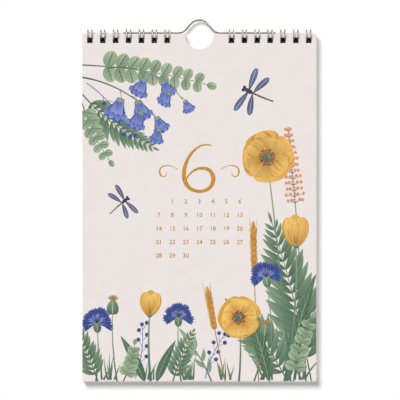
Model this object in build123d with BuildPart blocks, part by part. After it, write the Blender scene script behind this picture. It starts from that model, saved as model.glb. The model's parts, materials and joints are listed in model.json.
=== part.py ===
from build123d import *

import os
from math import asin, cos, degrees, pi, radians, sin, sqrt, tan

# A small wire-bound wall calendar, opened at a month leaf and hung from a bent wire hanger.
# The origin is the hanging point, under the crown of the hanger's hump. X runs to the right,
# Y away from the viewer into the wall, and Z up.

# Leaves
leaf_width = 153.9
leaf_height = 228.6
leaf_thickness = 0.25
following_leaves = 6
turned_leaf_count = 6
board_thickness = 0.6
front_leaf_gap = 0.3

# Punched holes, one for each double loop, in line with a three-to-the-inch punch
punch_pitch = 25.4 / 3
empty_positions = 4
loops_per_side = (int(leaf_width / punch_pitch) - empty_positions) // 2
hole_side = 3.7
hole_margin = 2.5

# Thumb cut at the top centre
thumb_radius = 9.5
thumb_centre_drop = 0.7

# Double-loop wire
wire_diameter = 0.8
wire_side_clearance = 0.12
loops_above_leaf = 3.0
ring_play = 1.3
seam_clearance = 0.15
tip_to_root = 0.25

# Hanger
hanger_diameter = 1.0
hanger_length = 100.6
hanger_above_leaf = 0.1
hanger_setback = 1.4
hump_rise = 8.5
hump_half_width = 13.75
hump_flank_angle = 49.0
hump_foot_radius = 6.5

# Heights, from the hanging point down
wire_radius = wire_diameter / 2
arm_z = hanger_diameter / 2 - hump_rise
leaf_top_z = arm_z - hanger_diameter / 2 - hanger_above_leaf
leaf_bottom_z = leaf_top_z - leaf_height
hole_centre_z = leaf_top_z - hole_margin - hole_side / 2

# Depths, from the front of the stack to the back
block_depth = following_leaves * leaf_thickness
turned_depth = turned_leaf_count * leaf_thickness
seam_gap = wire_diameter + 2 * seam_clearance
stack_depth = leaf_thickness + front_leaf_gap + block_depth + board_thickness + seam_gap + turned_depth

# The rings share one centre line, half way through the stack
ring_radius = stack_depth / 2 + ring_play
ring_y = -hanger_setback
ring_z = leaf_top_z + loops_above_leaf - wire_radius - ring_radius

front_leaf_y = ring_y - stack_depth / 2
block_y = front_leaf_y + leaf_thickness + front_leaf_gap
board_y = block_y + block_depth
seam_y = board_y + board_thickness
turned_y = seam_y + seam_gap


def loop_places(side):
    """X of each double loop on one side: -1 is the left, 1 the right."""
    first = (empty_positions + 1) / 2
    return [side * (first + i) * punch_pitch for i in range(loops_per_side)]


def punched_sheet(front_y, depth):
    """One sheet or block of sheets, with its thumb cut and square holes."""
    with BuildPart() as sheet:
        with BuildSketch(Plane.XZ.offset(-front_y)):
            with Locations((0, (leaf_top_z + leaf_bottom_z) / 2)):
                Rectangle(leaf_width, leaf_height)
            with Locations((0, leaf_top_z - thumb_centre_drop)):
                Circle(thumb_radius, mode=Mode.SUBTRACT)
            with Locations(*[(x, hole_centre_z) for x in loop_places(-1) + loop_places(1)]):
                Rectangle(hole_side, hole_side, mode=Mode.SUBTRACT)
        extrude(amount=-depth)
    return sheet


front_leaf = punched_sheet(front_leaf_y, leaf_thickness)
leaf_block = punched_sheet(block_y, block_depth)
backing_board = punched_sheet(board_y, board_thickness)
turned_leaves = punched_sheet(turned_y, turned_depth)

# Double-loop wire: each finger runs from its root in the seam, through the turned leaves,
# over the top, down the front and back through the holes to its rounded tip. The wire is
# round, and its section here is a square of the same area, which keeps 28 legs light.
leg_spacing = hole_side - wire_diameter - 2 * wire_side_clearance
wire_flat = wire_diameter * sqrt(pi) / 2
root_y = seam_y + seam_clearance + wire_radius
root_angle = -180 + degrees(asin((root_y - ring_y) / ring_radius))
tip_end_y = root_y - wire_diameter - tip_to_root
tip_angle = 180 - degrees(asin((leg_spacing / 2 + ring_y - tip_end_y) / ring_radius))
over_angle = (root_angle + tip_angle) / 2


def ring_point(x, angle, along=0.0):
    """A point of the ring, turned from its top towards the front, then moved along its tangent."""
    a = radians(angle)
    y = ring_y - ring_radius * sin(a) - along * cos(a)
    z = ring_z + ring_radius * cos(a) - along * sin(a)
    return (x, y, z)


def ring_plane(x, angle):
    """The plane across the wire at one point of the ring."""
    a = radians(angle)
    return Plane(origin=ring_point(x, angle), x_dir=(1, 0, 0), z_dir=(0, -cos(a), -sin(a)))


with BuildPart() as loop_wires:
    for side in (-1, 1):
        places = sorted(loop_places(side))
        for x in places:
            left, right = x - leg_spacing / 2, x + leg_spacing / 2
            tip = ring_point(x, tip_angle, leg_spacing / 2)
            with BuildLine():
                ThreePointArc(*[ring_point(left, a) for a in (root_angle, over_angle, tip_angle)])
                ThreePointArc(ring_point(left, tip_angle), tip, ring_point(right, tip_angle))
                ThreePointArc(*[ring_point(right, a) for a in (tip_angle, over_angle, root_angle)])
            with BuildSketch(ring_plane(left, root_angle)):
                Rectangle(wire_flat, wire_flat)
            sweep()
        with Locations(*[ring_plane(x + punch_pitch / 2, root_angle) for x in places[:-1]]):
            Box(punch_pitch - leg_spacing + wire_flat, wire_flat, wire_flat)

# Hanger: straight arms, small bends at the feet, straight flanks and a round crown
flank = radians(hump_flank_angle)
foot_top_x = hump_half_width - hump_foot_radius * sin(flank)
foot_top_z = arm_z + hump_foot_radius * (1 - cos(flank))
foot_middle_x = hump_half_width - hump_foot_radius * sin(flank / 2)
foot_middle_z = arm_z + hump_foot_radius * (1 - cos(flank / 2))
crown_z = arm_z + hump_rise
crown_radius = (foot_top_x * tan(flank) - (crown_z - foot_top_z)) / (sin(flank) * tan(flank) - (1 - cos(flank)))
shoulder_x = crown_radius * sin(flank)
shoulder_z = crown_z - crown_radius * (1 - cos(flank))

with BuildPart() as hanger:
    with BuildLine(Plane.XZ) as half_bend:
        Line((hanger_length / 2, arm_z), (hump_half_width, arm_z))
        ThreePointArc((hump_half_width, arm_z), (foot_middle_x, foot_middle_z), (foot_top_x, foot_top_z))
        Line((foot_top_x, foot_top_z), (shoulder_x, shoulder_z))
        ThreePointArc((shoulder_x, shoulder_z), (0, crown_z), (-shoulder_x, shoulder_z))
        Line((-shoulder_x, shoulder_z), (-foot_top_x, foot_top_z))
        ThreePointArc((-foot_top_x, foot_top_z), (-foot_middle_x, foot_middle_z), (-hump_half_width, arm_z))
        Line((-hump_half_width, arm_z), (-hanger_length / 2, arm_z))
    with BuildSketch(Plane.YZ.offset(hanger_length / 2)):
        with Locations((0, arm_z)):
            Circle(hanger_diameter / 2)
    sweep()

hanger.part.label = "hanger"
loop_wires.part.label = "loop_wires"
front_leaf.part.label = "front_leaf"
leaf_block.part.label = "leaf_block"
backing_board.part.label = "backing_board"
turned_leaves.part.label = "turned_leaves"

os.makedirs("parts", exist_ok=True)
export_step(hanger.part, "parts/hanger.step")
export_step(loop_wires.part, "parts/loop_wires.step")
export_step(front_leaf.part, "parts/front_leaf.step")
export_step(leaf_block.part, "parts/leaf_block.step")
export_step(backing_board.part, "parts/backing_board.step")
export_step(turned_leaves.part, "parts/turned_leaves.step")
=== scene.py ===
"""The looks of a small wire-bound wall calendar, built around its solid model.

The page print is drawn in millimetres, x from the middle of the leaf and h up from its
bottom edge. Everything else is in metres, in the model's own frame.
"""

import json
import math
import random

import bmesh
import bpy
from bpy.props import FloatProperty, FloatVectorProperty, IntProperty, PointerProperty
from mathutils import Matrix, Vector, geometry

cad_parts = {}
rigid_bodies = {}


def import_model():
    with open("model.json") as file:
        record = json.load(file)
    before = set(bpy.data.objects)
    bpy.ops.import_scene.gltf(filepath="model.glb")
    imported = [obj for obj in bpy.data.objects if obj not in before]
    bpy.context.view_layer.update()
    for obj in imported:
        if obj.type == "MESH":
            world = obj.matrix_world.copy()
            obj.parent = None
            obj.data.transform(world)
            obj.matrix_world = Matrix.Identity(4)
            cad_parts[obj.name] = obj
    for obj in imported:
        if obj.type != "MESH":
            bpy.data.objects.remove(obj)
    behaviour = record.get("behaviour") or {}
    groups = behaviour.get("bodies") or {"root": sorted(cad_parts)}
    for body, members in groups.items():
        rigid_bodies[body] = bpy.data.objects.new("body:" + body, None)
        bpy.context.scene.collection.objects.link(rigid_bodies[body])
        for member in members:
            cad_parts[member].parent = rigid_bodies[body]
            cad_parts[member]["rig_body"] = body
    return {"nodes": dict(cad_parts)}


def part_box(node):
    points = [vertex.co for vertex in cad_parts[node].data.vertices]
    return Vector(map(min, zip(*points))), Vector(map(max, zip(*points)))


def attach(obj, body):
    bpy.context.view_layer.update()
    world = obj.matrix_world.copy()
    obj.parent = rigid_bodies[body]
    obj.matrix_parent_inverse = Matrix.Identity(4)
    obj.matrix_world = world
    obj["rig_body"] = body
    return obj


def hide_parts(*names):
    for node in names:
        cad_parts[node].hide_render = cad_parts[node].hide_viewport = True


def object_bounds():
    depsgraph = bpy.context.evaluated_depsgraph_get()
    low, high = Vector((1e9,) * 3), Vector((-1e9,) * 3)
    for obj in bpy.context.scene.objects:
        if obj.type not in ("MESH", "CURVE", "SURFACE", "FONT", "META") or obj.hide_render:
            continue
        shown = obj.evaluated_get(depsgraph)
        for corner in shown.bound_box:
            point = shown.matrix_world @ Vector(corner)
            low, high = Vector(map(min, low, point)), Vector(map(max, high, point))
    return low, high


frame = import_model()
CAD_BOUNDS = [list(corner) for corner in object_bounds()]

bl_info = {
    "name": "Wall calendar",
    "version": (1, 0, 0),
    "blender": (4, 5, 0),
    "location": "3D View > Sidebar > Calendar",
    "description": "Dresses a wire-bound wall calendar with paper, wire and print",
    "category": "Object",
}

MM = 0.001
WELD = 1e-7

# Loops and hanger, as the wire was bent
LOOP_PITCH = 25.4 / 3 * MM
LOOPS_PER_SIDE = 7
EMPTY_PLACES = 4
HOLE_SIDE = 3.7 * MM
LOOP_SIDE_CLEARANCE = 0.12 * MM
SEAM_CLEARANCE = 0.15 * MM
TIP_TO_ROOT = 0.25 * MM
ROOT_BEND = 0.55 * MM
HUMP_HALF_WIDTH = 13.75 * MM
HUMP_FOOT_RADIUS = 6.5 * MM
HUMP_FLANK = math.radians(49)

# Facets along each bend of a wire: round the ring, at a finger's tip, at its root, and along the
# hump's feet and crown
RING_STEPS = 44
TIP_STEPS = 12
ROOT_STEPS = 6
FOOT_STEPS = 10
CROWN_STEPS = 40

# Size of the round on a wire's cut ends, as a share of its radius
CUT_ROUND_SHARE = 0.3

# Leaves in each of the two blocks
FOLLOWING_LEAVES = 6
TURNED_LEAVES = 6

# Date grid on the page, in millimetres, and its numbers, in shares of the type size
DATE_PITCH_X = 8.88
DATE_PITCH_H = 8.89
DATE_TOP_H = 116.9
DATE_HEIGHT = 3.0
NUMBER_HEIGHT = 0.73
NUMBER_BOLDNESS = 0.012
NUMBER_DEPTH = 0.01

# Size of the squares in which overlapping inks are noticed, in millimetres
CELL = 0.6

# Parts into which a stem and a shape's middle line are cut
STEM_PARTS = 32
SHAPE_PARTS = 64

# The one lean of a shape that goes straight on
STRAIGHT = (0,)

# What the cloudy formation of the paper takes from its red, green and blue
PAPER_CLOUD = (0.985, 0.975, 0.965)

# Painted shade on cut paper edges: how much darker a cut edge of paper is than its face, outside and in a
# punched hole
CUT_EDGE_PAINTED_SHADE = 0.75
PUNCHED_EDGE_PAINTED_SHADE = 0.3

# The row of holes: below the leaf's top, and between these distances from its middle
HOLE_MARGIN = 2.5 * MM
HOLE_ROW_START = 15 * MM
HOLE_ROW_END = 75 * MM

# Painted shade on the loops: how dark they are where they dip into the holes
DIPPED_WIRE_PAINTED_SHADE = 0.4

# Wall, in metres, and how open a spot on it is where its full painted shade ends and where its white starts
WALL_HALF_WIDTH = 1.5
WALL_FULL_SHADE_SHARE = 0.2
WALL_WHITE_SHARE = 0.5

# Far lamps: where each stands, and its spread in degrees
KEY_FROM = (-0.4, -1.0, 0.6)
KEY_SPREAD = 26.0
BACK_FROM = (0.4, 1.0, 0.2)
BACK_SPREAD = 30.0

# Strip lamps: where each stands, its width and its height, in metres
SIDE_STRIP = ((0.9, -0.5, 0.5), 0.5, 0.9)
TOP_STRIP = ((0.0, -0.6, 0.9), 1.6, 0.4)


def srgb(red, green, blue):
    """A colour named by its screen values, 0 to 255, in linear light."""
    shares = (red / 255, green / 255, blue / 255)
    return tuple(s / 12.92 if s <= 0.04045 else ((s + 0.055) / 1.055) ** 2.4 for s in shares)


def colour_property(name, description, red, green, blue):
    shade = srgb(red, green, blue)
    return FloatVectorProperty(
        name=name, description=description, subtype="COLOR", size=3, min=0.0, max=1.0, default=shade
    )


def length_property(name, description, millimetres):
    return FloatProperty(name=name, description=description, default=millimetres * MM, unit="LENGTH")


def number_property(name, description, value, unit="NONE"):
    return FloatProperty(name=name, description=description, default=value, unit=unit)


class PaperSettings(bpy.types.PropertyGroup):
    """Paper and board."""

    leaf_colour: colour_property("Leaf", "Colour of the printed leaves", 236, 228, 225)
    back_colour: colour_property("Plain back", "Colour of the unprinted backs", 240, 235, 230)
    board_colour: colour_property("Board", "Colour of the backing board", 196, 186, 172)
    leaf_gap: length_property("Leaf gap", "Air between two leaves of a block", 0.02)
    leaf_stagger: length_property("Leaf stagger", "How far the leaves of a block lie out of line", 0.12)


class WireSettings(bpy.types.PropertyGroup):
    """Loop wire and hanger."""

    loop_diameter: length_property("Loop wire", "Thickness of the loop wire", 0.8)
    hanger_diameter: length_property("Hanger wire", "Thickness of the hanger", 1.0)
    sides: IntProperty(name="Sides", description="Faces around a wire", default=16, min=6)
    loop_colour: colour_property("Loop colour", "Colour of the loop wire", 138, 134, 130)
    hanger_colour: colour_property("Hanger colour", "Colour of the hanger", 114, 107, 103)


class InkSettings(bpy.types.PropertyGroup):
    """Print colours."""

    mustard: colour_property("Mustard", "Light flowers", 224, 172, 82)
    ochre: colour_property("Ochre", "Flower shadows", 186, 128, 52)
    peach: colour_property("Peach", "Small blossom", 228, 168, 140)
    forest: colour_property("Forest", "Dark leaves", 72, 102, 78)
    sage: colour_property("Sage", "Pale leaves and stems", 132, 156, 128)
    olive: colour_property("Olive brown", "Dry leaves and pods", 150, 126, 78)
    periwinkle: colour_property("Periwinkle", "Pale blue petals", 138, 148, 204)
    berry: colour_property("Berry blue", "Dark blue petals", 70, 92, 170)
    navy: colour_property("Navy", "Wings and stamens", 38, 44, 76)
    gold: colour_property("Gold", "Foil numbers", 200, 148, 62)
    film: length_property("Ink film", "Thickness of the lowest ink", 0.012)
    layer_step: length_property("Layer step", "Rise from one ink to the next", 0.003)


class StageSettings(bpy.types.PropertyGroup):
    """Wall, lamps and camera."""

    wall_gap: length_property("Wall gap", "Air behind the loops", 0.4)
    frame_width: length_property("View width", "Width seen at the leaf", 263.0)
    view_drop: length_property("View drop", "View centre below the leaf's top", 109.4)
    view_right: length_property("View right", "View centre right of the middle", 0.46)
    # The reach of the painted shade in the wall's colour, from ambient occlusion
    close_shadow: length_property("Close shadow", "Reach of the dark just behind the calendar", 8.0)
    lens: number_property("Lens", "Focal length in millimetres", 250.0)
    sky_level: number_property("Sky", "Level of the even light", 0.36)
    key_level: number_property("Key", "Strength of the soft front light", 2.52)
    back_level: number_property("Back", "Strength of the light on the back", 2.15)
    strip_power: number_property("Side strip", "Power of the side lamp for metal", 26.0, "POWER")
    top_power: number_property("Top strip", "Power of the upper lamp for metal", 8.0, "POWER")


# Materials


class Nodes:
    """A short way to write a material's node tree."""

    def __init__(self, name):
        self.material = bpy.data.materials.new(name)
        self.material.use_nodes = True
        self.tree = self.material.node_tree
        self.shader = self.tree.nodes["Principled BSDF"]

    def add(self, kind, inputs=None, **settings):
        node = self.tree.nodes.new("ShaderNode" + kind)
        for key, value in settings.items():
            setattr(node, key, value)
        for key, value in (inputs or {}).items():
            self.put(node.inputs[key], value)
        return node

    def put(self, socket, value):
        if isinstance(value, bpy.types.NodeSocket):
            self.tree.links.new(value, socket)
        elif isinstance(value, tuple) and len(value) == 3 and socket.type == "RGBA":
            socket.default_value = (*value, 1.0)
        else:
            socket.default_value = value

    def set(self, **inputs):
        for key, value in inputs.items():
            self.put(self.shader.inputs[key.replace("_", " ")], value)

    def math(self, operation, a, b=0.0, *third):
        node = self.add("Math", dict(enumerate((a, b, *third))), operation=operation)
        return node.outputs[0]

    def mix(self, share, a, b, blend="MIX"):
        node = self.add("Mix", data_type="RGBA", blend_type=blend)
        self.put(node.inputs["Factor"], share)
        self.put(node.inputs[6], a)
        self.put(node.inputs[7], b)
        return node.outputs[2]

    def object_noise(self, scale, detail=4.0, rough=0.55, stretch=(1, 1, 1)):
        """Noise on object coordinates, its scale in features to the metre."""
        place = self.add("TexCoord").outputs["Object"]
        turned = self.add("Mapping", {"Vector": place, "Scale": stretch}).outputs[0]
        sizes = {"Scale": scale, "Detail": detail, "Roughness": rough}
        return self.add("TexNoise", {"Vector": turned, **sizes}).outputs["Fac"]

    def ramp(self, value, low, high):
        """Value stretched so that low becomes 0 and high becomes 1."""
        node = self.add("MapRange", {"Value": value, "From Min": low, "From Max": high}, clamp=True)
        return node.outputs[0]

    def object_place(self):
        """The three object coordinates."""
        return self.add("SeparateXYZ", {"Vector": self.add("TexCoord").outputs["Object"]}).outputs

    def cut_edge(self):
        """1 where a sheet was cut or punched, 0 on its two faces."""
        turned = self.add("SeparateXYZ", {"Vector": self.add("TexCoord").outputs["Normal"]})
        return self.math("LESS_THAN", self.math("ABSOLUTE", turned.outputs[1]), 0.5)

    def hole_row(self):
        """1 in the row of punched holes, 0 along the outer edges and the thumb cut."""
        place = self.object_place()
        middle = (HOLE_ROW_START + HOLE_ROW_END) / 2
        off_middle = self.math("SUBTRACT", self.math("ABSOLUTE", place[0]), middle)
        across = self.math("LESS_THAN", self.math("ABSOLUTE", off_middle), HOLE_ROW_END - middle)
        off_row = self.math("SUBTRACT", place[2], hole_top() - HOLE_SIDE / 2)
        level = self.math("LESS_THAN", self.math("ABSOLUTE", off_row), HOLE_SIDE / 2 + 0.2 * MM)
        return self.math("MULTIPLY", across, level)

    def bump(self, height, strength, distance):
        node = self.add("Bump", {"Height": height, "Strength": strength, "Distance": distance})
        self.put(self.shader.inputs["Normal"], node.outputs[0])


def hole_top():
    """Height of the upper side of the punched holes."""
    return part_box("front_leaf")[1].z - HOLE_MARGIN


def darker(colour, share):
    return tuple(c * share for c in colour)


def paper_material(name, colour):
    """Uncoated paper: faint cloudy formation and a fine felt surface, with painted shade on cut edges,
    deepest in the punched holes.
    """
    n = Nodes(name)
    cloud = n.ramp(n.object_noise(90, 5), 0.35, 0.7)
    fibre = n.object_noise(2600, 6, 0.7, (1, 1, 2.2))
    shade = tuple(c * t for c, t in zip(colour, PAPER_CLOUD))
    base = n.mix(cloud, colour, shade)
    fleck = n.ramp(fibre, 0.62, 0.8)
    face = n.mix(n.math("MULTIPLY", fleck, 0.25), base, shade, "MULTIPLY")
    # Painted shade: cut edges darker than the face, and much darker on the walls of the punched holes
    cut = n.mix(n.hole_row(), darker(colour, CUT_EDGE_PAINTED_SHADE), darker(colour, PUNCHED_EDGE_PAINTED_SHADE))
    n.set(Base_Color=n.mix(n.cut_edge(), face, cut), Roughness=0.9, Specular_IOR_Level=0.12)
    n.bump(fibre, 0.12, 0.00003)
    return n.material


def board_material(colour):
    """Grey board: short flecks of fibre in a coarse, matt surface, with painted shade on the walls of its
    punched holes.
    """
    n = Nodes("grey_board")
    fleck = n.ramp(n.object_noise(1500, 3, 0.6, (1, 3, 1)), 0.55, 0.72)
    cloud = n.object_noise(160, 4)
    base = n.mix(n.ramp(cloud, 0.3, 0.75), colour, darker(colour, 0.93))
    face = n.mix(n.math("MULTIPLY", fleck, 0.55), base, darker(colour, 0.72))
    # Painted shade on the walls of the punched holes
    punched = n.math("MULTIPLY", n.cut_edge(), n.hole_row())
    n.set(Base_Color=n.mix(punched, face, darker(colour, PUNCHED_EDGE_PAINTED_SHADE)), Roughness=0.95)
    n.bump(n.object_noise(2200, 5, 0.65), 0.25, 0.00005)
    return n.material


def wire_material(name, colour, roughness, dip=None):
    """Drawn steel wire with faint draw marks and an uneven polish, darkened by painted shade below the dip.
    """
    n = Nodes(name)
    drawn = n.object_noise(3000, 3, 0.5, (0.15, 1, 1))
    base = n.mix(n.ramp(n.object_noise(420, 3), 0.35, 0.75), colour, darker(colour, 0.8))
    if dip is not None:
        # Painted shade: the wire darkens below the dip, where it goes into the holes
        low = n.ramp(n.object_place()[2], dip + 0.2 * MM, dip - 0.8 * MM)
        base = n.mix(low, base, darker(colour, DIPPED_WIRE_PAINTED_SHADE))
    n.set(Base_Color=base, Metallic=1.0, Roughness=n.math("MULTIPLY_ADD", drawn, 0.18, roughness))
    n.bump(drawn, 0.1, 0.00002)
    return n.material


def ink_material(name, base, tip, vein, veins, half, streaks):
    """Opaque paint laid in brush strokes along each shape.

    The shapes' own UV map runs from 0 at the base to 1 at the tip, and across from edge to
    edge. The tint attribute sets each shape a little apart from the next.
    """
    n = Nodes(name)
    split = n.add("SeparateXYZ", {"Vector": n.add("UVMap", uv_map="shape").outputs[0]})
    along, across = split.outputs[0], split.outputs[1]
    tint = n.add("Attribute", attribute_name="tint").outputs["Fac"]
    ease = n.ramp(along, 0.05, 0.95)
    colour = n.mix(ease, base, tip)
    stretch = {"X": (along, 1.6), "Y": (across, 11.0), "Z": (tint, 40.0)}
    spot = n.add("CombineXYZ", {axis: n.math("MULTIPLY", *share) for axis, share in stretch.items()})
    brush = n.add("TexNoise", {"Vector": spot.outputs[0], "Scale": 1.0, "Detail": 4.0}).outputs["Fac"]
    dark = darker(base, 0.62)
    light = tuple(min(1.0, c * 1.22 + 0.03) for c in tip)
    colour = n.mix(n.math("MULTIPLY", n.ramp(brush, 0.56, 0.7), streaks), colour, light)
    colour = n.mix(n.math("MULTIPLY", n.ramp(brush, 0.46, 0.34), streaks), colour, dark)
    middle = n.math("ABSOLUTE", n.math("SUBTRACT", across, 0.5))
    if half:
        lower = n.ramp(across, 0.52, 0.46)
        colour = n.mix(n.math("MULTIPLY", lower, half), colour, dark)
    if vein is not None:
        rib = n.ramp(middle, 0.05, 0.025)
        phase = n.math("SUBTRACT", n.math("MULTIPLY", along, veins), n.math("MULTIPLY", middle, 3.2))
        wave = n.math("PINGPONG", phase, 0.5)
        side = n.math("MULTIPLY", n.ramp(wave, 0.09, 0.03), n.ramp(middle, 0.46, 0.38))
        lines = n.math("MAXIMUM", rib, n.math("MULTIPLY", side, 0.75)) if veins else rib
        inside = n.math("MULTIPLY", n.ramp(along, 0.0, 0.08), n.ramp(along, 1.0, 0.9))
        colour = n.mix(n.math("MULTIPLY", lines, inside), colour, vein)
    spread = n.math("MULTIPLY_ADD", tint, 0.22, 0.89)
    n.set(Base_Color=n.mix(1.0, colour, spread, "MULTIPLY"), Roughness=0.75, Specular_IOR_Level=0.3)
    n.bump(brush, 0.15, 0.00003)
    return n.material


def foil_material(colour):
    """Gold foil, stamped: bright, with a slightly uneven surface."""
    n = Nodes("gold_foil")
    patch = n.object_noise(700, 4)
    worn = n.mix(n.ramp(patch, 0.35, 0.7), colour, darker(colour, 0.66))
    n.set(Base_Color=worn, Metallic=0.85, Roughness=0.38)
    n.bump(n.object_noise(1800, 3), 0.2, 0.00003)
    return n.material


# Wire


def new_object(bm, name, material):
    """Turns a bmesh into an object of the scene."""
    mesh = bpy.data.meshes.new(name)
    bm.to_mesh(mesh)
    bm.free()
    mesh.materials.append(material)
    made = bpy.data.objects.new(name, mesh)
    bpy.context.scene.collection.objects.link(made)
    return made


def finish_piece(bm, name, material, body, replaces=(), smooth=True):
    """Turns a finished bmesh into a piece that rides on a body."""
    bmesh.ops.remove_doubles(bm, verts=bm.verts, dist=WELD)
    bmesh.ops.recalc_face_normals(bm, faces=bm.faces)
    for face in bm.faces:
        face.smooth = smooth
    piece = new_object(bm, name, material)
    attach(piece, body)
    if replaces:
        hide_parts(*replaces)
    return piece


class BentWire:
    """A round wire, bent step by step from one cut end to the other."""

    def __init__(self, bm, radius, sides, start, heading):
        self.bm = bm
        self.heading = Vector(heading).normalized()
        turn = self.heading.to_track_quat("Z", "Y").to_matrix().to_4x4()
        ends = bmesh.ops.create_circle(
            bm, cap_ends=True, segments=sides, radius=radius, matrix=Matrix.Translation(start) @ turn
        )
        self.ring = list({edge for vert in ends["verts"] for edge in vert.link_edges})

    def _keep(self, geometry_made):
        self.ring = [item for item in geometry_made if isinstance(item, bmesh.types.BMEdge)]

    def run(self, length):
        """Goes straight on."""
        made = bmesh.ops.extrude_edge_only(self.bm, edges=self.ring)["geom"]
        verts = [item for item in made if isinstance(item, bmesh.types.BMVert)]
        bmesh.ops.translate(self.bm, verts=verts, vec=self.heading * length)
        edges = [item for item in made if isinstance(item, bmesh.types.BMEdge)]
        self._keep(edge for edge in edges if set(edge.verts) <= set(verts))

    def bend(self, centre, axis, angle, steps):
        """Turns round a centre, by the right-hand rule about the axis."""
        made = bmesh.ops.spin(
            self.bm, geom=self.ring, cent=centre, axis=axis, angle=angle, steps=steps, use_duplicate=False
        )
        self._keep(made["geom_last"])
        self.heading.rotate(Matrix.Rotation(angle, 3, axis))

    def cut(self):
        """Closes the far end."""
        bmesh.ops.contextual_create(self.bm, geom=self.ring)


def loop_places(side):
    """X of each double loop on one side, from left to right: -1 is the left side, 1 the right."""
    first = (EMPTY_PLACES + 1) / 2
    return sorted(side * (first + i) * LOOP_PITCH for i in range(LOOPS_PER_SIDE))


def double_loops(bm, places, wire):
    """One wire bent into double loops, with its seam between the board and the turned leaves."""
    radius = wire.loop_diameter / 2
    low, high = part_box("loop_wires")
    flat = radius * math.sqrt(math.pi)
    ring = (high.y - low.y - flat) / 2
    centre = Vector((0, (low.y + high.y) / 2, high.z - flat / 2 - ring))
    half_leg = (HOLE_SIDE - wire.loop_diameter) / 2 - LOOP_SIDE_CLEARANCE
    root_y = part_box("backing_board")[1].y + SEAM_CLEARANCE + radius
    tip_y = root_y - wire.loop_diameter - TIP_TO_ROOT
    root = math.asin((root_y + ROOT_BEND - centre.y) / ring) - math.pi
    tip = math.pi - math.asin((half_leg + centre.y - tip_y) / ring)

    def outward(angle):
        return Vector((0, -math.sin(angle), math.cos(angle)))

    def place(x, angle):
        return centre + outward(angle) * ring + Vector((x, 0, 0))

    start = place(places[0] - half_leg, root)
    along_x = Vector((1, 0, 0))
    path = BentWire(bm, radius, wire.sides, start, along_x.cross(outward(root)))
    for i, x in enumerate(places):
        path.bend(centre, along_x, tip - root, RING_STEPS)
        path.bend(place(x, tip), outward(tip), math.pi, TIP_STEPS)
        path.bend(centre, along_x, root - tip, RING_STEPS)
        if i + 1 < len(places):
            reach = half_leg + ROOT_BEND
            path.bend(place(x + reach, root), outward(root), -math.pi / 2, ROOT_STEPS)
            path.run(LOOP_PITCH - 2 * reach)
            path.bend(place(places[i + 1] - reach, root), outward(root), -math.pi / 2, ROOT_STEPS)
    path.cut()


def hanger_wire(bm, wire):
    """Straight arms, small bends at the feet, straight flanks and a round crown."""
    radius = wire.hanger_diameter / 2
    low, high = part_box("hanger")
    arm_z = low.z + radius
    crown_z = high.z - radius
    foot_x = HUMP_HALF_WIDTH - HUMP_FOOT_RADIUS * math.sin(HUMP_FLANK)
    foot_z = arm_z + HUMP_FOOT_RADIUS * (1 - math.cos(HUMP_FLANK))
    slope = math.tan(HUMP_FLANK)
    crown_share = math.sin(HUMP_FLANK) * slope - (1 - math.cos(HUMP_FLANK))
    crown = (foot_x * slope - (crown_z - foot_z)) / crown_share
    flank = (foot_x - crown * math.sin(HUMP_FLANK)) / math.cos(HUMP_FLANK)
    towards_wall = Vector((0, 1, 0))
    foot = Vector((HUMP_HALF_WIDTH, 0, arm_z + HUMP_FOOT_RADIUS))
    path = BentWire(bm, radius, wire.sides, Vector((low.x, 0, arm_z)), (1, 0, 0))
    path.run(-HUMP_HALF_WIDTH - low.x)
    path.bend(foot * Vector((-1, 1, 1)), towards_wall, -HUMP_FLANK, FOOT_STEPS)
    path.run(flank)
    path.bend(Vector((0, 0, crown_z - crown)), towards_wall, 2 * HUMP_FLANK, CROWN_STEPS)
    path.run(flank)
    path.bend(foot, towards_wall, -HUMP_FLANK, FOOT_STEPS)
    path.run(high.x - HUMP_HALF_WIDTH)
    path.cut()


def round_cut_ends(bm, radius):
    """A small round on the two cut ends."""
    ends = [f for f in bm.faces if len(f.verts) > 4]
    rims = list({edge for face in ends for edge in face.edges})
    size = radius * CUT_ROUND_SHARE
    bmesh.ops.bevel(bm, geom=rims, offset=size, segments=2, profile=0.5, affect="EDGES", material=-1)


# Paper


def leaf_stack(name, node, count, paper, material, seed):
    """A block of loose leaves in the place of a solid one."""
    low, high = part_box(node)
    leaf_low, leaf_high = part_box("front_leaf")
    pitch = (high.y - low.y) / count
    thickness = pitch - paper.leaf_gap
    squeeze = thickness / (leaf_high.y - leaf_low.y)
    dice = random.Random(seed)
    bm = bmesh.new()
    for i in range(count):
        sheet = bmesh.new()
        sheet.from_mesh(frame["nodes"]["front_leaf"].data)
        bmesh.ops.remove_doubles(sheet, verts=sheet.verts, dist=WELD)
        bmesh.ops.dissolve_limit(sheet, angle_limit=0.01, verts=sheet.verts, edges=sheet.edges)
        drop = paper.leaf_stagger * dice.uniform(-0.5, 0.0)
        shift = paper.leaf_stagger * dice.uniform(-0.5, 0.5)
        bmesh.ops.translate(sheet, verts=sheet.verts, vec=(shift, -leaf_low.y, drop))
        bmesh.ops.scale(sheet, verts=sheet.verts, vec=(1, squeeze, 1))
        bmesh.ops.translate(sheet, verts=sheet.verts, vec=(0, low.y + i * pitch + paper.leaf_gap / 2, 0))
        scratch = bpy.data.meshes.new("one_leaf")
        sheet.to_mesh(scratch)
        sheet.free()
        bm.from_mesh(scratch)
        bpy.data.meshes.remove(scratch)
    return finish_piece(bm, name, material, body_of(node), replaces=(node,), smooth=False)


def body_of(node):
    """The body that a node rides on."""
    return frame["nodes"][node]["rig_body"]


def dress_node(node, material):
    """Gives a solid its finish."""
    slots = frame["nodes"][node].material_slots
    if slots:
        for slot in slots:
            slot.material = material
    else:
        frame["nodes"][node].data.materials.append(material)


# Print


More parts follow.
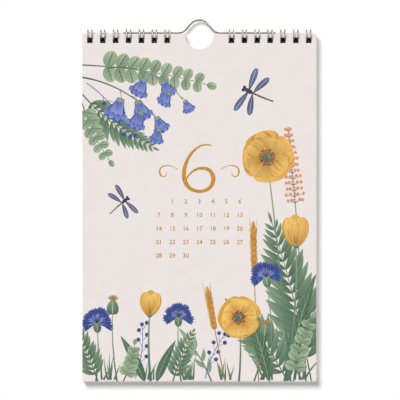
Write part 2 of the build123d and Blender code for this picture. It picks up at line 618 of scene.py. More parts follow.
def arc(x, h, length, angle, curl=0.0):
    """A gentle arc as Bezier points: from (x, h), heading at an angle and turning by curl."""
    heading, end = math.radians(angle), math.radians(angle + curl)
    middle = (heading + end) / 2
    chord = length * (1 - (math.radians(curl) ** 2) / 24)
    start = Vector((x, h))
    finish = start + Vector((math.cos(middle), math.sin(middle))) * chord
    reach = length / 3
    return (
        start,
        start + Vector((math.cos(heading), math.sin(heading))) * reach,
        finish - Vector((math.cos(end), math.sin(end))) * reach,
        finish,
    )


def on_arc(path, share):
    """A point of the arc and the heading there, in degrees."""
    points = geometry.interpolate_bezier(*[p.to_3d() for p in path], STEM_PARTS + 1)
    i = min(STEM_PARTS - 1, max(0, int(share * STEM_PARTS)))
    here, ahead = points[i], points[i + 1]
    between = here.lerp(ahead, share * STEM_PARTS - i)
    step = ahead - here
    return between.x, between.y, math.degrees(math.atan2(step.y, step.x))


def ahead_of(x, h, reach, angle):
    """The point at a distance and angle from (x, h)."""
    return x + reach * math.cos(math.radians(angle)), h + reach * math.sin(math.radians(angle))


def leaf_form(t):
    return math.sin(math.pi * t**0.85) ** 0.85


def lance_form(t):
    return math.sin(math.pi * t**0.7) ** 0.9


def round_form(t):
    return math.sqrt(max(0.0, 1 - (2 * t - 1) ** 2))


def petal_form(t):
    return math.sqrt(max(0.0, 1 - (2 * t**1.7 - 1) ** 2))


def stem_form(t):
    return 1.0 - 0.45 * t


def blade_form(t):
    return 1.0 - t**1.6


def stroke_form(t):
    return math.sin(math.pi * t) ** 0.6


def drop_form(t):
    return math.sqrt(max(0.0, 1 - (2 * t**0.7 - 1) ** 2))


def bell_form(t):
    return 0.34 + 0.3 * math.sin(math.pi * min(1.0, t * 1.25) / 2) ** 0.7 + 0.36 * t**4


def flare_form(t):
    return 0.12 + 0.88 * t**2.2


def full_form(t):
    return 1 - 0.3 * math.sin(math.pi * t)


def swelling_form(t):
    return 0.35 + 0.5 * math.sin(math.pi * t)


class Ink:
    """One ink of a page: flat shapes that end as one thin closed film."""

    def __init__(self, page, name, material):
        self.page = page
        self.name = name
        self.material = material
        self.bm = bmesh.new()
        self.uv = self.bm.loops.layers.uv.new("shape")
        self.tint = self.bm.verts.layers.float.new("tint")

    def _lay(self, shape, spots):
        """Puts a shape on the page, over what lies there. Spots hold each vertex's own place."""
        page = self.page
        tint = page.dice.random()
        front = page.front - page.ink.film - page.rise(shape) * page.ink.layer_step
        for vert in shape:
            vert[self.tint] = tint
            for loop in vert.link_loops:
                loop[self.uv].uv = spots[vert]
        for vert in shape:
            vert.co = (page.side * vert.co.x * MM, front, page.bottom + vert.co.y * MM)

    def ribbon(self, path, width, form, steps, across):
        """A shape along an arc, as wide as its form says."""
        grid = bmesh.ops.create_grid(self.bm, x_segments=steps, y_segments=across, size=1.0)["verts"]
        fine = geometry.interpolate_bezier(*[p.to_3d() for p in path], SHAPE_PARTS + 1)
        spots = {}
        for vert in grid:
            share = (1 - math.cos(math.pi * (vert.co.x + 1) / 2)) / 2
            i = min(SHAPE_PARTS - 1, int(share * SHAPE_PARTS))
            here = fine[i].lerp(fine[i + 1], share * SHAPE_PARTS - i)
            heading = (fine[i + 1] - fine[i]).normalized()
            reach = max(form(share), 0.004) * width / 2 * vert.co.y
            spots[vert] = (share, (vert.co.y + 1) / 2)
            vert.co = Vector((here.x - heading.y * reach, here.y + heading.x * reach, 0))
        self._lay(grid, spots)

    def dot(self, x, h, radius, sides):
        """A round spot."""
        disc = bmesh.ops.create_circle(self.bm, cap_ends=True, segments=sides, radius=radius)["verts"]
        spots = {}
        for vert in disc:
            spots[vert] = (0.5 + vert.co.x / radius / 2.2, 0.5 + vert.co.y / radius / 2.2)
            vert.co = Vector((x + vert.co.x, h + vert.co.y, 0))
        self._lay(disc, spots)

    def trim(self):
        """Cuts off what runs over the leaf's edges."""
        low, high = self.page.low, self.page.high
        for spot, way in (
            ((low.x, 0, 0), (-1, 0, 0)),
            ((high.x, 0, 0), (1, 0, 0)),
            ((0, 0, low.z), (0, 0, -1)),
        ):
            everything = self.bm.verts[:] + self.bm.edges[:] + self.bm.faces[:]
            bmesh.ops.bisect_plane(self.bm, geom=everything, plane_co=spot, plane_no=way, clear_outer=True)

    def dry(self):
        """Closes every shape down into the paper and makes the piece."""
        self.trim()
        if not self.bm.faces:
            self.bm.free()
            return
        made = bmesh.ops.extrude_face_region(self.bm, geom=self.bm.faces[:], use_keep_orig=True)["geom"]
        for item in made:
            if isinstance(item, bmesh.types.BMVert):
                item.co.y = self.page.front + self.page.ink.film
        bmesh.ops.recalc_face_normals(self.bm, faces=self.bm.faces)
        piece = new_object(self.bm, self.name, self.material)
        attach(piece, self.page.body)


class Page:
    """The front of one leaf, with its inks."""

    def __init__(self, prefix, node, slot, ink, seed, side=1):
        self.low, self.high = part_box(node)
        self.front = self.low.y
        self.bottom = self.low.z
        self.body = body_of(node)
        self.slot = slot
        self.ink = ink
        self.side = side
        self.dice = random.Random(seed)
        self.tops = {}
        paints = ink_set(ink, prefix)
        self.inks = {name: Ink(self, f"{prefix}_{name}", made) for name, made in paints.items()}

    def __getitem__(self, name):
        return self.inks[name]

    def jitter(self, spread):
        """A number up to the spread either way. No spread takes no random draw."""
        return self.dice.uniform(-spread, spread) if spread else 0.0

    def rise(self, shape):
        """How many layers of ink lie under a shape, in millimetres on the page."""
        cells = set()
        for face in {face for vert in shape for face in vert.link_faces}:
            corners = [vert.co.xy for vert in face.verts]
            middle = sum(corners, Vector((0, 0))) / len(corners)
            for i, corner in enumerate(corners):
                after = corners[(i + 1) % len(corners)]
                parts = 1 + int((after - corner).length / CELL)
                spokes = 1 + int((corner - middle).length / CELL)
                for k in range(parts):
                    rim = corner.lerp(after, k / parts)
                    for m in range(spokes + 1):
                        spot = middle.lerp(rim, m / spokes)
                        cells.add((round(spot.x / CELL), round(spot.y / CELL)))
        level = 1 + max((self.tops.get(cell, -1) for cell in cells), default=0)
        for cell in cells:
            self.tops[cell] = level
        return level

    def dry(self):
        for ink in self.inks.values():
            ink.dry()


def stem(page, place, width, steps=20, ink="stem"):
    """Draws a stem and gives its arc. A place holds x, h, length, angle and curl."""
    spine = arc(*place)
    page[ink].ribbon(spine, width, stem_form, steps, 1)
    return spine


def spray(page, ink, place, leans, reach, width, *form_and_grid, fold=0.0, loose=(0, 0, 0)):
    """Shapes that spread from a place, which holds x, h and a heading.

    Fold is how far each curls back, as a share of its lean. Loose is how far its lean, its
    reach and its curl may be off.
    """
    x, h, heading = place
    for lean in leans:
        angle = heading + lean + page.jitter(loose[0])
        path = arc(x, h, reach + page.jitter(loose[1]), angle, page.jitter(loose[2]) - lean * fold)
        page[ink].ribbon(path, width, *form_and_grid)


def lance_leaf(page, place, width):
    page["forest_leaf"].ribbon(arc(*place), width, lance_form, 16, 4)


def fern(page, place, pairs=13, width=0.3):
    """An arching frond: small leaflets in pairs, shorter to the tip."""
    spine = arc(*place)
    length = place[2]
    for i in range(pairs):
        share = 0.16 + 0.82 * i / pairs
        px, ph, heading = on_arc(spine, share)
        reach = length * width * math.sin(math.pi * (0.16 + 0.8 * share) ** 0.8) ** 0.8
        for side in (-1, 1):
            lean = heading + side * (60 - 20 * share) + page.jitter(4)
            path = arc(px, ph, reach * (0.92 + page.jitter(0.06)), lean, -side * 14)
            page["fern"].ribbon(path, reach * 0.17 + 0.9, leaf_form, 8, 2)
    spray(page, "fern", on_arc(spine, 0.97), STRAIGHT, length * 0.08, 1.8, leaf_form, 8, 2)
    page["stem"].ribbon(spine, 0.9, stem_form, 20, 1)


def round_leaf_sprig(page, place, pairs=6, size=7.0):
    """A sprig with round leaves in pairs."""
    spine = stem(page, place, 0.9)
    for i in range(pairs):
        share = 0.2 + 0.78 * i / pairs
        px, ph, heading = on_arc(spine, share)
        leaf = size * (1.0 - 0.45 * share)
        for side in (-1, 1):
            lean = heading + side * (62 + page.jitter(10))
            page["sage_round"].ribbon(arc(px, ph, leaf, lean, side * 8), leaf * 0.84, round_form, 12, 4)
    tip = on_arc(spine, 0.98)
    spray(page, "sage_round", tip, STRAIGHT, size * 0.55, size * 0.42, round_form, 10, 4)


def narrow_leaf_branch(page, place, pairs, size):
    """A branch with lance-shaped leaves, one after the other."""
    spine = stem(page, place, 1.0)
    for i in range(pairs):
        share = 0.16 + 0.8 * i / pairs
        px, ph, heading = on_arc(spine, share)
        side = 1 if i % 2 else -1
        leaf = size * (1.0 - 0.35 * share + page.jitter(0.06))
        lean = heading + side * (40 + page.jitter(8))
        page["sage_leaf"].ribbon(arc(px, ph, leaf, lean, -side * 22), leaf * 0.3, lance_form, 14, 4)
    spray(page, "sage_leaf", on_arc(spine, 0.98), STRAIGHT, size * 0.7, size * 0.22, lance_form, 12, 4)


def tulip(page, place, size=21.0):
    """A cup of broad petals on a bare stem."""
    px, ph, heading = tip = on_arc(stem(page, place, 1.7), 1.0)
    for ink, reach, lean, curl, width in (
        ("ochre_petal", 1.02, -34, 46, 0.42),
        ("ochre_petal", 1.02, 34, -46, 0.42),
        ("ochre_petal", 1.06, 0, 0, 0.44),
        ("mustard_petal", 0.98, -25, 33, 0.42),
        ("mustard_petal", 0.98, 25, -33, 0.42),
        ("mustard_petal", 0.86, 0, 0, 0.5),
    ):
        path = arc(px, ph, size * reach, heading + lean, curl)
        page[ink].ribbon(path, size * width, petal_form, 14, 4)
    loose = (0, size * 0.08, 0)
    spray(page, "ochre_line", tip, (-11, -4, 3, 9), size * 0.5, 0.5, stroke_form, 8, 1, loose=loose)
    spray(page, "stem", tip, STRAIGHT, size * 0.14, size * 0.2, round_form, 8, 2)


def poppy(page, place, size=17.0, tilt=0.0):
    """A round open flower with overlapping petals and a dark heart."""
    px, ph, _ = on_arc(stem(page, place, 1.3, 24), 1.0)
    outer, inner, heart = (px, ph, tilt), (px, ph, tilt + 45), (px, ph, 0)
    quarters = range(0, 360, 90)
    petal = (petal_form, 16, 6)
    loose = (6, size * 0.05, 8)
    spray(page, "ochre_petal", outer, quarters, size, size * 1.34, *petal, loose=loose)
    spray(page, "mustard_petal", inner, quarters, size * 0.84, size * 1.14, *petal, loose=loose)
    loose = (4, size * 0.1, 10)
    spray(page, "ochre_line", heart, range(0, 360, 10), size * 0.42, 0.32, stroke_form, 5, 1, loose=loose)
    for i in range(24):
        lean = 15 * i + page.jitter(5)
        reach = size * (0.27 + page.jitter(0.05))
        page["navy_line"].ribbon(arc(px, ph, reach, lean), 0.28, stem_form, 3, 1)
        page["navy_line"].dot(*ahead_of(px, ph, reach, lean), 0.42, 8)
    page["pod"].dot(px, ph, size * 0.13, 20)
    spray(page, "navy_line", heart, range(0, 360, 45), size * 0.12, 0.26, stem_form, 2, 1)


def bellflower(page, place, bells=5, size=12.0):
    """Bells that hang from an arching stem, smaller towards its tip."""
    spine = stem(page, place, 1.1, 24)
    for i in range(bells):
        px, ph, heading = on_arc(spine, 0.42 + 0.54 * i / max(1, bells - 1))
        bell = size * (1.0 - 0.42 * i / bells)
        side = 1 if i % 2 else -1
        hang = -90 + side * 24 + page.jitter(8)
        first = heading + side * 30
        turn = (hang - first + 180) % 360 - 180
        stalk = stem(page, (px, ph, bell * 0.42, first, turn * 0.8), 0.6, 10)
        bx, bh, _ = on_arc(stalk, 1.0)
        top = (bx, bh, hang)
        spray(page, "berry_petal", top, (-19, 0, 19), bell * 1.12, bell * 0.42, petal_form, 12, 4, fold=0.5)
        spray(page, "periwinkle_petal", top, STRAIGHT, bell * 0.86, bell * 0.86, bell_form, 12, 6)
        for lean in (-26, -9, 9, 26):
            rim = (*ahead_of(bx, bh, bell * 0.74, hang + lean * 0.95), hang + lean * 1.5)
            spray(page, "periwinkle_petal", rim, STRAIGHT, bell * 0.36, bell * 0.3, leaf_form, 8, 2)
        spray(page, "berry_line", top, (-14, 0, 14), bell * 0.74, 0.35, stroke_form, 8, 1, fold=0.4)
        spray(page, "sage_leaf", top, (-40, 0, 40), bell * 0.26, bell * 0.13, leaf_form, 6, 2)


def cornflower(page, place, size=11.0):
    """Ragged blue rays over a green cup."""
    px, ph, heading = foot = on_arc(stem(page, place, 1.1), 1.0)
    x, h = ahead_of(px, ph, size * 0.6, heading)
    top = (x, h, heading)
    for i in range(13):
        lean = heading - 108 + 18 * i + page.jitter(5)
        reach = size * (1.0 + page.jitter(0.1))
        page["berry_petal"].ribbon(arc(x, h, reach * 0.72, lean), size * 0.36, flare_form, 8, 2)
        tip = (*ahead_of(x, h, reach * 0.6, lean), lean)
        spray(page, "berry_petal", tip, (-26, 0, 26), reach * 0.4, size * 0.17, leaf_form, 5, 2)
    fan = [140 * i / 15 - 70 for i in range(16)]
    loose = (6, size * 0.1, 0)
    spray(page, "periwinkle_petal", top, fan, size * 0.5, size * 0.1, drop_form, 5, 2, loose=loose)
    spray(page, "pod", foot, STRAIGHT, size * 0.72, size * 0.5, round_form, 12, 6)
    loose = (5, size * 0.06, 0)
    spray(page, "navy_line", top, range(-40, 41, 10), size * 0.42, 0.4, stem_form, 4, 1, loose=loose)


def seed_pod(page, place, size=8.0):
    """A ribbed pod under its flat crown."""
    px, ph, heading = foot = on_arc(stem(page, place, 1.0), 1.0)
    spray(page, "pod", foot, STRAIGHT, size * 1.2, size, drop_form, 14, 6)
    x, h, _ = on_arc(arc(px, ph, size * 1.16, heading), 1.0)
    crown = (x, h, heading)
    spray(page, "olive_leaf", crown, range(-60, 61, 24), size * 0.5, size * 0.16, drop_form, 6, 2)


def wheat_ear(page, place, grains=8, bare=0.66):
    """Plump grains in two ranks, each with its long awn."""
    spine = stem(page, place, 0.8, 24, "olive_line")
    for i in range(grains):
        share = bare + (1 - bare) * i / grains
        px, ph, heading = on_arc(spine, share)
        for side in (-1, 1):
            lean = heading + side * (24 + page.jitter(3))
            page["olive_line"].ribbon(arc(px, ph, 12.0, lean - side * 8, -side * 8), 0.24, stem_form, 5, 1)
            page["grain"].ribbon(arc(px, ph, 5.6, lean, -side * 14), 2.3, drop_form, 7, 2)
    spray(page, "grain", on_arc(spine, 1.0), STRAIGHT, 5.8, 2.3, drop_form, 7, 2)


def blossom_spike(page, place, rows=12, bare=0.6, spread=5.0):
    """A spike of very small round blossoms."""
    spine = stem(page, place, 0.9)
    for i in range(rows):
        px, ph, heading = on_arc(spine, bare + (1 - bare) * i / rows)
        half = spread * (1.15 - (i / rows) ** 1.3)
        for j in range(5):
            across = (j / 2 - 1) * half + page.jitter(0.5)
            lean = heading + math.degrees(math.atan2(across, 2.4 - abs(across) * 0.1))
            reach = math.hypot(across, 2.4) * (0.9 + page.jitter(0.1))
            page["stem"].ribbon(arc(px, ph, reach, lean), 0.3, stem_form, 2, 1)
            bx, bh = ahead_of(px, ph, reach, lean)
            blossom = (bx, bh, 36 * (j % 2))
            spray(page, "peach_petal", blossom, range(0, 360, 72), 1.3, 0.95, petal_form, 3, 2)
            page["ochre_line"].dot(bx, bh, 0.24, 6)


def berry_sprig(page, place, berries=7):
    """Fine forked stalks with a berry on each end."""
    spine = stem(page, place, 0.6, 18, "berry_line")
    for i in range(berries):
        px, ph, heading = on_arc(spine, 0.3 + 0.7 * i / berries)
        side = 1 if i % 2 else -1
        fork = (px, ph, 5.2 + page.jitter(1.0), heading + side * 44, -side * 18)
        stalk = stem(page, fork, 0.4, 6, "berry_line")
        page["berry_petal"].dot(*on_arc(stalk, 1.0)[:2], 1.35, 14)
    page["berry_petal"].dot(*on_arc(spine, 1.0)[:2], 1.35, 14)


def grass(page, place, count, reach):
    """A tuft of fine blades."""
    x, h = place
    for i in range(count):
        lean = 90 + page.jitter(26)
        path = arc(x + page.jitter(5), h, reach * (0.75 + page.jitter(0.25)), lean, page.jitter(34))
        page["grass"].ribbon(path, 1.3, blade_form, 10, 1)


def dragonfly(page, place, angle, size):
    """Four narrow wings on a long jointed body."""
    x, h = place

    def spot(along, across=0.0):
        a = math.radians(angle)
        return (
            x + math.cos(a) * along - math.sin(a) * across,
            h + math.sin(a) * along + math.cos(a) * across,
        )

    for along, lean, reach in ((-0.08, 106, 0.92), (0.1, 78, 1.0)):
        for side in (-1, 1):
            path = arc(*spot(size * along), size * reach, angle + side * lean, side * 7)
            page["wing"].ribbon(path, size * 0.26, petal_form, 16, 4)
    tail = arc(*spot(size * 0.26), size * 1.25, angle + 180, page.jitter(10) + 8)
    page["navy_line"].ribbon(tail, size * 0.1, stem_form, 18, 2)
    for i in range(9):
        tx, th, heading = on_arc(tail, 0.24 + 0.08 * i)
        band = size * 0.042 * (1.2 - 0.05 * i)
        path = arc(*ahead_of(tx, th, band, heading - 90), 2 * band, heading + 90)
        page["mustard_petal"].ribbon(path, 0.45, round_form, 4, 1)
    page["navy_line"].ribbon(arc(*spot(-size * 0.08), size * 0.4, angle), size * 0.19, round_form, 10, 4)
    for side in (-1, 1):
        page["navy_line"].dot(*spot(size * 0.33, side * size * 0.06), size * 0.07, 12)


# Leafy branches that hang in from one upper corner
HANGING_BRANCH = (
    (fern, (-78, 190, 62, -50, 26), 14, 0.26),
    (round_leaf_sprig, (-78, 186, 46, -74, 18), 6, 9),
    (berry_sprig, (-74, 196, 46, -34, -34), 8),
    (round_leaf_sprig, (-78, 208, 86, -2, -14), 9, 12),
    (bellflower, (-78, 200, 64, -8, -46), 5, 14),
    (bellflower, (-60, 206, 56, 8, -62), 4, 12),
)

# The tall plants of one lower corner
TALL_STAND = (
    (fern, (74, -2, 112, 100, 8), 17, 0.25),
    (fern, (60, -4, 70, 116, 20), 13),
    (grass, (66, 1), 9, 34),
    (grass, (44, 1), 8, 28),
    (blossom_spike, (70, 0, 168, 92, 4), 13, 0.7),
    (wheat_ear, (39, 0, 100, 93, -2), 8, 0.7),
    (wheat_ear, (17, 0, 58, 102, -2), 7, 0.6),
    (lance_leaf, (58, 0, 74, 82, -14), 8.5),
    (poppy, (60, 0, 148, 95, 2), 17, 12),
    (lance_leaf, (46, 0, 58, 102, 12), 8),
    (tulip, (56, 0, 88, 78, 14), 21),
    (cornflower, (46, 0, 62, 84, 14), 11),
    (poppy, (26, 0, 42, 84, 12), 14, 40),
    (round_leaf_sprig, (62, 0, 44, 84, -20), 6, 8.5),
    (seed_pod, (36, 0, 30, 70, 14), 7),
)

# The low plants along the foot of the leaf
LOW_STAND = (
    (fern, (-66, -2, 44, 108, 14), 11),
    (fern, (-18, -2, 38, 74, -12), 10),
    (grass, (-60, 1), 8, 20),
    (grass, (-34, 1), 8, 18),
    (grass, (-6, 1), 8, 20),
    (grass, (16, 1), 7, 18),
    (seed_pod, (-54, 0, 44, 100, -12), 8),
    (berry_sprig, (-42, 2, 36, 70, 26)),
    (cornflower, (-68, 0, 32, 82, 12), 10.5),
    (tulip, (-32, 0, 42, 96, -10), 17),
    (cornflower, (-12, 0, 36, 98, -10), 10),
    (lance_leaf, (-36, 0, 34, 112, 12), 6.5),
    (lance_leaf, (-28, 0, 30, 72, -14), 6),
    (narrow_leaf_branch, (8, 0, 34, 112, 16), 6, 11),
    (round_leaf_sprig, (-50, 0, 26, 62, 22), 5, 7),
    (berry_sprig, (4, 2, 32, 78, -24)),
)

# Two months: their plants in the order in which they are painted
JUNE = (
    *HANGING_BRANCH,
    *LOW_STAND,
    *TALL_STAND,
    (dragonfly, (34, 190), 152, 16),
    (dragonfly, (-50, 118), 38, 12),
)
JULY = (*TALL_STAND, *LOW_STAND, *HANGING_BRANCH, (dragonfly, (40, 186), 140, 15))

# Each stroke of a month's number: its four Bezier points in millimetres, its width and form
SIX = (
    (((8.2, 155), (-3, 159), (-12.5, 142), (-9.5, 132)), 3.0, lambda t: 0.25 + 0.75 * t),
    (((-9.5, 132), (-7, 122), (9.5, 122.5), (9.2, 133.5)), 3.0, full_form),
    (((9.2, 133.5), (8.6, 143), (-5.5, 142.5), (-9.3, 131)), 3.0, lambda t: 1 - 0.75 * t),
)
SEVEN = (
    (((-8.5, 151), (-3, 155.5), (4, 150.5), (9.5, 153.5)), 2.8, swelling_form),
    (((9.3, 153.5), (2.5, 145), (-2.5, 135), (-3.5, 124)), 3.2, lambda t: 0.35 + 0.65 * t**0.7),
)
CURL = (
    (((14, 139), (20, 144), (27, 142), (26, 137)), 1.1, lambda t: 0.3 + 0.7 * t),
    (((26, 137), (25.4, 133.5), (20.6, 134), (21.6, 137.6)), 1.1, lambda t: 1 - 0.7 * t),
)


def brush_number(page, strokes):
    """The month's number in foil, as brushed strokes, between two plain curls."""
    for turned, marks in ((1, strokes), (1, CURL), (-1, CURL)):
        for points, width, form in marks:
            path = [Vector((page.side * turned * x, h)) for x, h in points]
            page["foil"].ribbon(path, width, form, 22, 2)


def date_numbers(page, name, days, first_column):
    """Plain dates in a seven-column grid, stamped in foil."""
    bm = bmesh.new()
    upright = Matrix.Rotation(math.pi / 2, 4, "X")
    size = Matrix.Scale(DATE_HEIGHT * MM / NUMBER_HEIGHT, 4)
    for day in range(days):
        row, column = divmod(first_column + day, 7)
        text = bpy.data.curves.new("date", "FONT")
        text.body = str(day + 1)
        text.align_x = "CENTER"
        text.offset = NUMBER_BOLDNESS
        text.extrude = NUMBER_DEPTH
        text.resolution_u = 6
        label = bpy.data.objects.new("date", text)
        mesh = bpy.data.meshes.new_from_object(label)
        x = (column - 3) * DATE_PITCH_X * MM
        z = page.bottom + (DATE_TOP_H - row * DATE_PITCH_H) * MM
        place = Matrix.Translation((x, page.front - page.ink.film, z))
        mesh.transform(place @ upright @ size)
        bm.from_mesh(mesh)
        bpy.data.meshes.remove(mesh)
        bpy.data.objects.remove(label)
        bpy.data.curves.remove(text)
    finish_piece(bm, name, page["foil"].material, page.body, smooth=False)


# Shades that only one or two paints use
SHADES = {
    "pale": srgb(176, 192, 158),
    "straw": srgb(236, 192, 104),
    "umber": srgb(150, 96, 36),
    "rose": srgb(214, 138, 108),
    "slate": srgb(84, 104, 150),
    "dusk": srgb(58, 62, 92),
    "haze": srgb(88, 104, 148),
    "mist": srgb(186, 192, 206),
}

# Each paint: its colour at the base, at the tip and in the veins, how many veins it has, and how
# strong its shaded half and its brush streaks are
PAINTS = {
    "grass": ("forest", "sage", None, 0.0, 0.0, 0.35),
    "fern": ("forest", "sage", None, 0.0, 0.25, 0.35),
    "stem": ("forest", "sage", None, 0.0, 0.0, 0.3),
    "sage_leaf": ("sage", "sage", "pale", 7.0, 0.35, 0.35),
    "sage_round": ("sage", "pale", "forest", 4.0, 0.25, 0.35),
    "forest_leaf": ("forest", "forest", "sage", 12.0, 0.4, 0.35),
    "olive_leaf": ("olive", "olive", "mustard", 6.0, 0.3, 0.35),
    "olive_line": ("olive", "ochre", None, 0.0, 0.0, 0.2),
    "pod": ("forest", "sage", "pale", 0.0, 0.3, 0.35),
    "grain": ("ochre", "mustard", "olive", 0.0, 0.3, 0.35),
    "ochre_petal": ("ochre", "mustard", None, 0.0, 0.0, 0.6),
    "mustard_petal": ("ochre", "straw", None, 0.0, 0.0, 0.45),
    "ochre_line": ("umber", "ochre", None, 0.0, 0.0, 0.2),
    "peach_petal": ("rose", "peach", None, 0.0, 0.0, 0.2),
    "periwinkle_petal": ("berry", "periwinkle", None, 0.0, 0.0, 0.5),
    "berry_petal": ("navy", "berry", None, 0.0, 0.0, 0.55),
    "berry_line": ("berry", "slate", None, 0.0, 0.0, 0.2),
    "navy_line": ("navy", "dusk", None, 0.0, 0.0, 0.2),
    "wing": ("navy", "haze", "mist", 9.0, 0.2, 0.35),
}


def ink_set(ink, prefix):
    """The paints of a page, by the shapes that they are used for."""

    def shade(name):
        return SHADES[name] if name in SHADES else tuple(getattr(ink, name))

    paints = {}
    for name, (base, tip, vein, *strengths) in PAINTS.items():
        lines = shade(vein) if vein else None
        paints[name] = ink_material(f"{prefix}_{name}", shade(base), shade(tip), lines, *strengths)
    paints["foil"] = foil_material(shade("gold"))
    return paints


# Operators


class CALENDAR_OT_hanger(bpy.types.Operator):
    """Bend the hanger wire"""

    bl_idname = "calendar.hanger"
    bl_label = "Hanger"

    def execute(self, context):
        wire = context.scene.calendar_wire
        bm = bmesh.new()
        hanger_wire(bm, wire)
        round_cut_ends(bm, wire.hanger_diameter / 2)
        metal = wire_material("hanger_steel", tuple(wire.hanger_colour), 0.24)
        finish_piece(bm, "hanger_bent", metal, body_of("hanger"), ("hanger",))
        return {"FINISHED"}


class CALENDAR_OT_loops(bpy.types.Operator):
    """Bend the two double-loop wires"""

    bl_idname = "calendar.loops"
    bl_label = "Double loops"

    def execute(self, context):
        wire = context.scene.calendar_wire
        # The hole top is where the painted shade on the loops begins
        metal = wire_material("loop_steel", tuple(wire.loop_colour), 0.3, hole_top())
        for side, name in ((-1, "loops_left"), (1, "loops_right")):
            bm = bmesh.new()
            double_loops(bm, loop_places(side), wire)
            round_cut_ends(bm, wire.loop_diameter / 2)
            finish_piece(bm, name, metal, body_of("loop_wires"), ("loop_wires",))
        return {"FINISHED"}


class CALENDAR_OT_paper(bpy.types.Operator):
    """Give the leaves and the board their paper"""

    bl_idname = "calendar.paper"
    bl_label = "Paper and board"

    def execute(self, context):
        paper = context.scene.calendar_paper
        printed = paper_material("leaf_paper", tuple(paper.leaf_colour))
        plain = paper_material("plain_paper", tuple(paper.back_colour))
        dress_node("front_leaf", printed)
        dress_node("backing_board", board_material(tuple(paper.board_colour)))
        for name, node, count, made, slot, seed in (
            ("following_leaves", "leaf_block", FOLLOWING_LEAVES, printed, "block_paper", 7),
            ("turned_back_leaves", "turned_leaves", TURNED_LEAVES, plain, "turned_paper", 11),
        ):
            leaf_stack(name, node, count, paper, made, seed)
        return {"FINISHED"}


def print_page(page, name, plants, number, days, first_column):
    """Paints a month's plants, its number and its dates."""
    for draw, *sizes in plants:
        draw(page, *sizes)
    brush_number(page, number)
    date_numbers(page, name, days, first_column)
    page.dry()


class CALENDAR_OT_front_print(bpy.types.Operator):
    """Print the leaf that shows"""

    bl_idname = "calendar.front_print"
    bl_label = "Front leaf print"

    def execute(self, context):
        page = Page("front_print", "front_leaf", "leaf_paper", context.scene.calendar_ink, seed=6)
        print_page(page, "front_print_dates", JUNE, SIX, 30, 1)
        return {"FINISHED"}


class CALENDAR_OT_next_print(bpy.types.Operator):
    """Print the leaf behind it"""

    bl_idname = "calendar.next_print"
    bl_label = "Next leaf print"

    def execute(self, context):
        ink = context.scene.calendar_ink
        page = Page("next_print", "leaf_block", "block_paper", ink, seed=7, side=-1)
        print_page(page, "next_print_dates", JULY, SEVEN, 31, 3)
        return {"FINISHED"}


class CALENDAR_OT_stage(bpy.types.Operator):
    """Put up the wall, the lamps and the camera"""

    bl_idname = "calendar.stage"
    bl_label = "Wall, lamps and camera"

    def execute(self, context):
        stage = context.scene.calendar_stage
        build_wall(stage)
        light_stage(context.scene, stage)
        place_camera(context.scene, stage)
        context.scene.view_settings.view_transform = "Standard"
        return {"FINISHED"}


def build_wall(stage):
    """A wide white wall just behind the loops, with painted shade in its colour where the calendar closes
    it in. Seen from behind it isn't there.
    """
    bm = bmesh.new()
    back = CAD_BOUNDS[1][1] + stage.wall_gap
    upright = Matrix.Translation((0, back, 0)) @ Matrix.Rotation(math.pi / 2, 4, "X")
    bmesh.ops.create_grid(bm, x_segments=1, y_segments=1, size=WALL_HALF_WIDTH, matrix=upright)
    n = Nodes("white_wall")
    # Painted shade: ambient occlusion turns the wall's colour from white to black where it is closed in
    open_share = n.add("AmbientOcclusion", {"Distance": stage.close_shadow}).outputs["AO"]
    white = n.ramp(open_share, WALL_FULL_SHADE_SHARE, WALL_WHITE_SHARE)
    n.set(Base_Color=n.mix(white, (0.0, 0.0, 0.0), (1.0, 1.0, 1.0)), Roughness=1.0, Specular_IOR_Level=0.0)
    clear = n.add("BsdfTransparent").outputs[0]
    behind = n.add("NewGeometry").outputs["Backfacing"]
    mixed = n.add("MixShader", {0: behind, 1: n.shader.outputs[0], 2: clear})
    n.put(n.tree.nodes["Material Output"].inputs["Surface"], mixed.outputs[0])
    wall = new_object(bm, "wall", n.material)
    wall.visible_diffuse = False
    wall.visible_shadow = False


def hang_lamp(scene, name, kind, place, **settings):
    """A lamp turned from its place to the hanging point."""
    lamp = bpy.data.lights.new(name, kind)
    for key, value in settings.items():
        setattr(lamp, key, value)
    light = bpy.data.objects.new(name, lamp)
    scene.collection.objects.link(light)
    light.rotation_euler = Vector(place).to_track_quat("Z", "Y").to_euler()
    return light


def hang_sun(scene, name, place, level, spread):
    """A soft light from far off, which metal doesn't reflect."""
    light = hang_lamp(scene, name, "SUN", place, energy=level, angle=math.radians(spread))
    light.visible_glossy = False


def hang_strip(scene, name, place, width, height, power):
    """A soft box that metal reflects and that doesn't light paper."""
    sizes = {"shape": "RECTANGLE", "size": width, "size_y": height}
    light = hang_lamp(scene, name, "AREA", place, energy=power, **sizes)
    light.location = place
    light.visible_diffuse = False


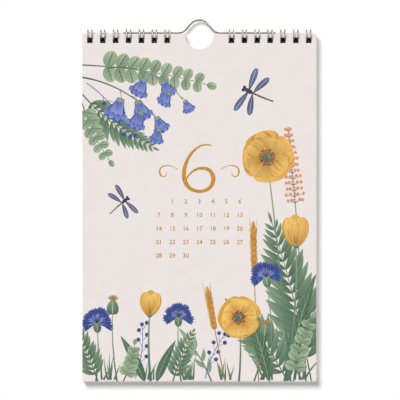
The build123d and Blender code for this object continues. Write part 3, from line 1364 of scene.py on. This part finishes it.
def light_stage(scene, stage):
    """Even light all round, a soft key from the upper left, light on the back, and two strips."""
    world = bpy.data.worlds.new("even_light")
    scene.world = world
    world.use_nodes = True
    tree = world.node_tree
    sky = tree.nodes["Background"]
    sky.inputs["Color"].default_value = (1.0, 1.0, 1.0, 1.0)
    path = tree.nodes.new("ShaderNodeLightPath")
    seen = path.outputs["Is Camera Ray"]
    for kind in ("Is Glossy Ray", "Is Transmission Ray"):
        either = tree.nodes.new("ShaderNodeMath")
        either.operation = "MAXIMUM"
        tree.links.new(seen, either.inputs[0])
        tree.links.new(path.outputs[kind], either.inputs[1])
        seen = either.outputs[0]
    level = tree.nodes.new("ShaderNodeMix")
    level.inputs[2].default_value = stage.sky_level
    level.inputs[3].default_value = 1.0
    tree.links.new(seen, level.inputs[0])
    tree.links.new(level.outputs[0], sky.inputs["Strength"])

    hang_sun(scene, "key_light", KEY_FROM, stage.key_level, KEY_SPREAD)
    hang_sun(scene, "back_light", BACK_FROM, stage.back_level, BACK_SPREAD)
    hang_strip(scene, "gloss_strip", *SIDE_STRIP, stage.strip_power)
    hang_strip(scene, "gloss_top", *TOP_STRIP, stage.top_power)


def place_camera(scene, stage):
    """Straight in front, framed as a plain product view."""
    camera = bpy.data.cameras.new("front_camera")
    camera.lens = stage.lens
    camera.sensor_width = 36.0
    low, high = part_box("front_leaf")
    distance = stage.frame_width * stage.lens / camera.sensor_width
    rig = bpy.data.objects.new("front_camera", camera)
    rig.location = (stage.view_right, low.y - distance, high.z - stage.view_drop)
    rig.rotation_euler = (math.pi / 2, 0, 0)
    scene.collection.objects.link(rig)
    scene.camera = rig


class CALENDAR_PT_sidebar(bpy.types.Panel):
    """The calendar's steps, in order."""

    bl_label = "Calendar"
    bl_idname = "CALENDAR_PT_sidebar"
    bl_space_type = "VIEW_3D"
    bl_region_type = "UI"
    bl_category = "Calendar"

    def draw(self, context):
        for step in STEPS:
            self.layout.operator(f"calendar.{step}")
        for group in SETTINGS:
            settings = getattr(context.scene, group)
            box = self.layout.box()
            box.label(text=type(settings).__doc__)
            for key in settings.bl_rna.properties.keys():
                if key not in ("rna_type", "name"):
                    box.prop(settings, key)


STEPS = ("hanger", "loops", "paper", "front_print", "next_print", "stage")
SETTINGS = {
    "calendar_paper": PaperSettings,
    "calendar_wire": WireSettings,
    "calendar_ink": InkSettings,
    "calendar_stage": StageSettings,
}
CLASSES = (
    *SETTINGS.values(),
    CALENDAR_OT_hanger,
    CALENDAR_OT_loops,
    CALENDAR_OT_paper,
    CALENDAR_OT_front_print,
    CALENDAR_OT_next_print,
    CALENDAR_OT_stage,
    CALENDAR_PT_sidebar,
)


def register():
    for cls in CLASSES:
        bpy.utils.register_class(cls)
    for name, cls in SETTINGS.items():
        setattr(bpy.types.Scene, name, PointerProperty(type=cls))


def unregister():
    for name in SETTINGS:
        delattr(bpy.types.Scene, name)
    for cls in reversed(CLASSES):
        bpy.utils.unregister_class(cls)


def main():
    register()
    for step in STEPS:
        getattr(bpy.ops.calendar, step)()


if __name__ == "__main__":
    main()
